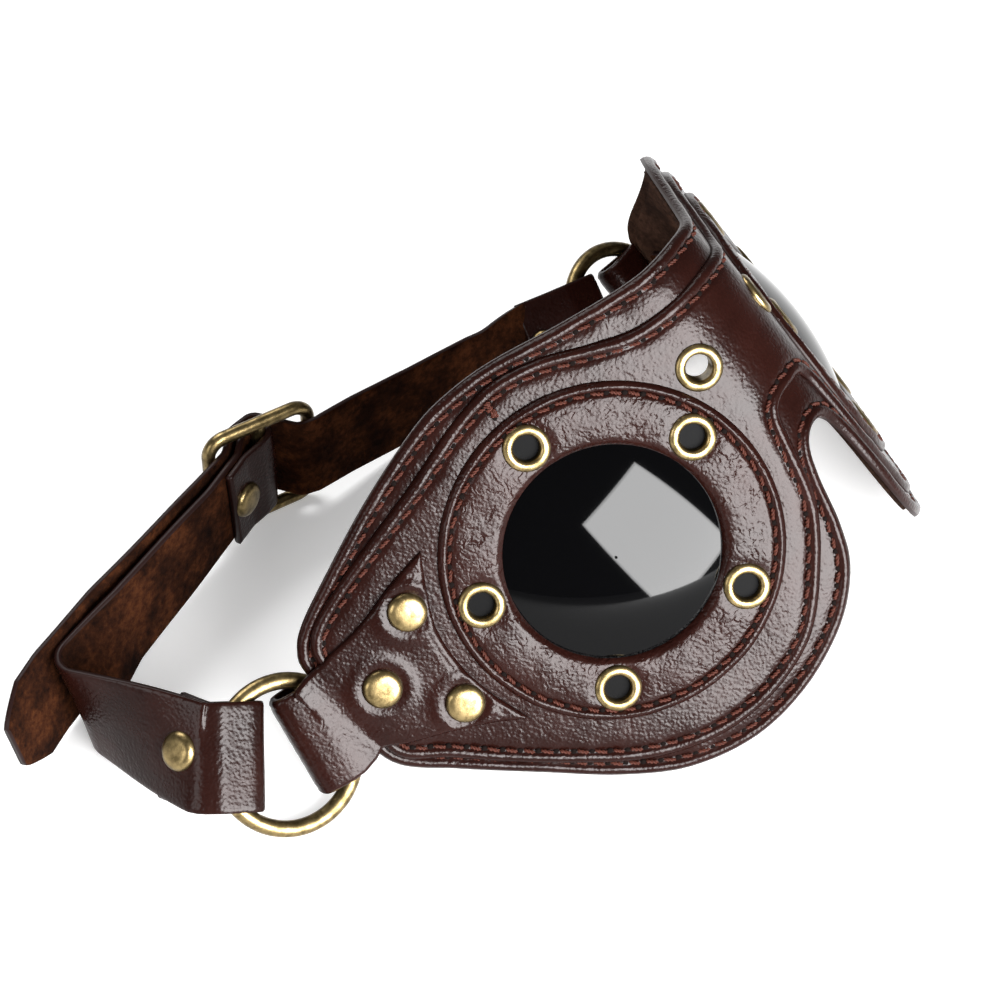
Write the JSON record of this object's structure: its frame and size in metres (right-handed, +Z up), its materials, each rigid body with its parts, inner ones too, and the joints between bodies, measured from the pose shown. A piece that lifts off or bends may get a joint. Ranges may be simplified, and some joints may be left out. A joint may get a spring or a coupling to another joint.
{
  "type": "motorcycle goggles",
  "caption": "Leather half-mask goggles with two round domed dark lenses in laced patches, riveted strap tabs with rings, and an adjustable buckled head strap.",
  "frame": {"origin": "middle of the bounding box in plan, on the surface the goggles lie on", "axes": "+Z up; +X across the face towards the wearer's left; -Y towards the front of the mask, which leans back on its cheek edges"},
  "size_m": [0.1952, 0.1381, 0.0902],
  "materials": {
    "outer_leather": "glossy pebbled dark brown leather",
    "strap_leather": "smooth outside, rough suede inside, dark brown",
    "lining_suede": "matt dark brown suede",
    "antique_brass": "antique brass, darker in its recesses",
    "lens_black": "black, highly polished"
  },
  "bodies": {
    "mask": {"lining": "lining_suede", "base_panel": "outer_leather", "mid_panel": "outer_leather", "bridge_eyelets": "antique_brass", "bridge_washers": "antique_brass", "right_lens": "lens_black", "right_lens_patch": "outer_leather", "right_patch_eyelets": "antique_brass", "right_strap_tab": "outer_leather", "right_tab_rivets": "antique_brass", "left_lens": "lens_black", "left_lens_patch": "outer_leather", "left_patch_eyelets": "antique_brass", "left_strap_tab": "outer_leather", "left_tab_rivets": "antique_brass"},
    "strap": {"right_tab_loop": "outer_leather", "left_tab_loop": "outer_leather", "buckle_strap": "strap_leather", "long_strap": "strap_leather", "right_ring_rivet": "antique_brass", "left_ring_rivet": "antique_brass", "chape_rivet": "antique_brass"},
    "right_ring": {"right_ring": "antique_brass"},
    "left_ring": {"left_ring": "antique_brass"},
    "buckle_frame": {"buckle_frame": "antique_brass"},
    "buckle_prong": {"buckle_prong": "antique_brass"}
  },
  "joints": [
    {"name": "strap_swing", "type": "hinge", "parent": "mask", "child": "strap", "pos_m": [0.02077, 0.01462, 0.01302], "axis": [1, 0, 0], "range_deg": [0, 6]},
    {"name": "right_ring_spin", "type": "hinge", "parent": "strap", "child": "right_ring", "pos_m": [-0.07273, 0.01482, 0.01252], "axis": [-0.2919, -0.6815, 0.6711], "continuous": true},
    {"name": "left_ring_spin", "type": "hinge", "parent": "strap", "child": "left_ring", "pos_m": [0.07527, 0.01862, 0.01202], "axis": [-0.099, -0.6966, 0.7106], "continuous": true},
    {"name": "buckle_tilt", "type": "hinge", "parent": "strap", "child": "buckle_frame", "pos_m": [-0.01023, 0.06192, 0.01452], "axis": [0, 0, 1], "range_deg": [-2, 2]},
    {"name": "prong_lift", "type": "hinge", "parent": "buckle_frame", "child": "buckle_prong", "pos_m": [-0.01023, 0.06192, 0.01452], "axis": [0, 0, 1], "range_deg": [0, 15]}
  ]
}
